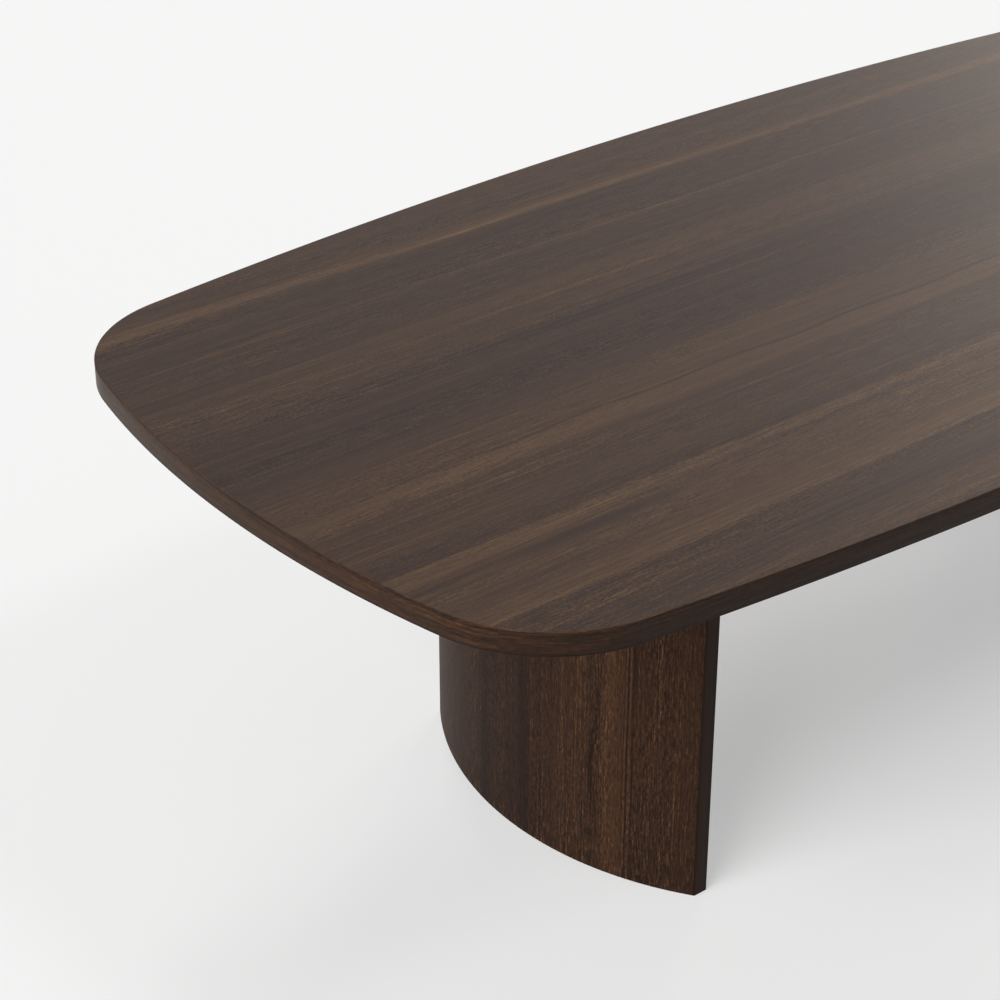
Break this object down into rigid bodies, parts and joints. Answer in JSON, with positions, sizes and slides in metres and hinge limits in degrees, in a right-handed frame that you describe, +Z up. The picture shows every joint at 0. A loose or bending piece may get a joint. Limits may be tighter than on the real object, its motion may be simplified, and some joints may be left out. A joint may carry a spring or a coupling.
{
  "type": "dining table",
  "caption": "Long dining table: bowed, soft-cornered dark veneered top on curved panel legs, joined by bolted cleats, with recessed stiffener rails and screw levellers.",
  "frame": {"origin": "on the floor, under the middle of the top", "axes": "+X along the length of the table, +Z up, -Y the long side that faces the picture's camera"},
  "size_m": [2.438, 1.2216, 0.74],
  "materials": {
    "top_veneer": "smoked dark brown veneer, satin lacquer, grain along the table",
    "edge_band_wood": "smoked dark brown veneer strip, satin lacquer, grain along the edge",
    "leg_veneer": "smoked dark brown veneer, satin lacquer, upright grain",
    "leg_end_wood": "dark brown veneer strip, satin lacquer, upright grain",
    "underside_veneer": "dark brown balancing veneer, matt sealed",
    "core_board": "raw fibreboard",
    "moulded_plywood": "raw moulded plywood",
    "beech": "oiled beech",
    "black_steel": "black powder coat",
    "zinc_steel": "bright zinc plate",
    "insert_brass": "turned brass",
    "glide_nylon": "black nylon"
  },
  "bodies": {
    "table": {"back_edge_band": "edge_band_wood", "back_rail_screws": "zinc_steel", "back_stiffener_rail": "black_steel", "front_edge_band": "edge_band_wood", "front_rail_screws": "zinc_steel", "front_stiffener_rail": "black_steel", "left_cleat_screws": "zinc_steel", "left_edge_band": "edge_band_wood", "left_leg_back_end_band": "leg_end_wood", "left_leg_bolts": "zinc_steel", "left_leg_cleat": "beech", "left_leg_core": "moulded_plywood", "left_leg_dowels": "beech", "left_leg_flat_washers": "zinc_steel", "left_leg_front_end_band": "leg_end_wood", "left_leg_inner_veneer": "leg_veneer", "left_leg_outer_veneer": "leg_veneer", "left_leg_spring_washers": "zinc_steel", "left_leg_top_inserts": "insert_brass", "left_leveller_inserts": "insert_brass", "right_cleat_screws": "zinc_steel", "right_edge_band": "edge_band_wood", "right_leg_back_end_band": "leg_end_wood", "right_leg_bolts": "zinc_steel", "right_leg_cleat": "beech", "right_leg_core": "moulded_plywood", "right_leg_dowels": "beech", "right_leg_flat_washers": "zinc_steel", "right_leg_front_end_band": "leg_end_wood", "right_leg_inner_veneer": "leg_veneer", "right_leg_outer_veneer": "leg_veneer", "right_leg_spring_washers": "zinc_steel", "right_leg_top_inserts": "insert_brass", "right_leveller_inserts": "insert_brass", "top_core": "core_board", "top_face_veneer": "top_veneer", "top_underside_veneer": "underside_veneer"},
    "left_front_leveller_pad": {"left_front_leveller_pad": "glide_nylon"},
    "left_front_leveller_stem": {"left_front_leveller_stem": "zinc_steel"},
    "left_middle_leveller_pad": {"left_middle_leveller_pad": "glide_nylon"},
    "left_middle_leveller_stem": {"left_middle_leveller_stem": "zinc_steel"},
    "left_back_leveller_pad": {"left_back_leveller_pad": "glide_nylon"},
    "left_back_leveller_stem": {"left_back_leveller_stem": "zinc_steel"},
    "right_front_leveller_pad": {"right_front_leveller_pad": "glide_nylon"},
    "right_front_leveller_stem": {"right_front_leveller_stem": "zinc_steel"},
    "right_middle_leveller_pad": {"right_middle_leveller_pad": "glide_nylon"},
    "right_middle_leveller_stem": {"right_middle_leveller_stem": "zinc_steel"},
    "right_back_leveller_pad": {"right_back_leveller_pad": "glide_nylon"},
    "right_back_leveller_stem": {"right_back_leveller_stem": "zinc_steel"}
  },
  "joints": [
    {"name": "left_front_leveller_drop", "type": "slide", "parent": "table", "child": "left_front_leveller_pad", "axis": [0, 0, -1], "range_m": [0, 0.008]},
    {"name": "left_front_leveller_turn", "type": "hinge", "parent": "left_front_leveller_pad", "child": "left_front_leveller_stem", "pos_m": [-0.67679, -0.2565, 0], "axis": [0, 0, -1], "range_deg": [0, 2880]},
    {"name": "left_middle_leveller_drop", "type": "slide", "parent": "table", "child": "left_middle_leveller_pad", "axis": [0, 0, -1], "range_m": [0, 0.008]},
    {"name": "left_middle_leveller_turn", "type": "hinge", "parent": "left_middle_leveller_pad", "child": "left_middle_leveller_stem", "pos_m": [-0.7455, 0, 0], "axis": [0, 0, -1], "range_deg": [0, 2880]},
    {"name": "left_back_leveller_drop", "type": "slide", "parent": "table", "child": "left_back_leveller_pad", "axis": [0, 0, -1], "range_m": [0, 0.008]},
    {"name": "left_back_leveller_turn", "type": "hinge", "parent": "left_back_leveller_pad", "child": "left_back_leveller_stem", "pos_m": [-0.67679, 0.2565, 0], "axis": [0, 0, -1], "range_deg": [0, 2880]},
    {"name": "right_front_leveller_drop", "type": "slide", "parent": "table", "child": "right_front_leveller_pad", "axis": [0, 0, -1], "range_m": [0, 0.008]},
    {"name": "right_front_leveller_turn", "type": "hinge", "parent": "right_front_leveller_pad", "child": "right_front_leveller_stem", "pos_m": [0.67679, -0.2565, 0], "axis": [0, 0, -1], "range_deg": [0, 2880]},
    {"name": "right_middle_leveller_drop", "type": "slide", "parent": "table", "child": "right_middle_leveller_pad", "axis": [0, 0, -1], "range_m": [0, 0.008]},
    {"name": "right_middle_leveller_turn", "type": "hinge", "parent": "right_middle_leveller_pad", "child": "right_middle_leveller_stem", "pos_m": [0.7455, 0, 0], "axis": [0, 0, -1], "range_deg": [0, 2880]},
    {"name": "right_back_leveller_drop", "type": "slide", "parent": "table", "child": "right_back_leveller_pad", "axis": [0, 0, -1], "range_m": [0, 0.008]},
    {"name": "right_back_leveller_turn", "type": "hinge", "parent": "right_back_leveller_pad", "child": "right_back_leveller_stem", "pos_m": [0.67679, 0.2565, 0], "axis": [0, 0, -1], "range_deg": [0, 2880]}
  ],
  "couplings": [
    {"joint": "left_front_leveller_turn", "follows": "left_front_leveller_drop", "rad_per_m": 6283.2},
    {"joint": "left_middle_leveller_turn", "follows": "left_middle_leveller_drop", "rad_per_m": 6283.2},
    {"joint": "left_back_leveller_turn", "follows": "left_back_leveller_drop", "rad_per_m": 6283.2},
    {"joint": "right_front_leveller_turn", "follows": "right_front_leveller_drop", "rad_per_m": 6283.2},
    {"joint": "right_middle_leveller_turn", "follows": "right_middle_leveller_drop", "rad_per_m": 6283.2},
    {"joint": "right_back_leveller_turn", "follows": "right_back_leveller_drop", "rad_per_m": 6283.2}
  ]
}
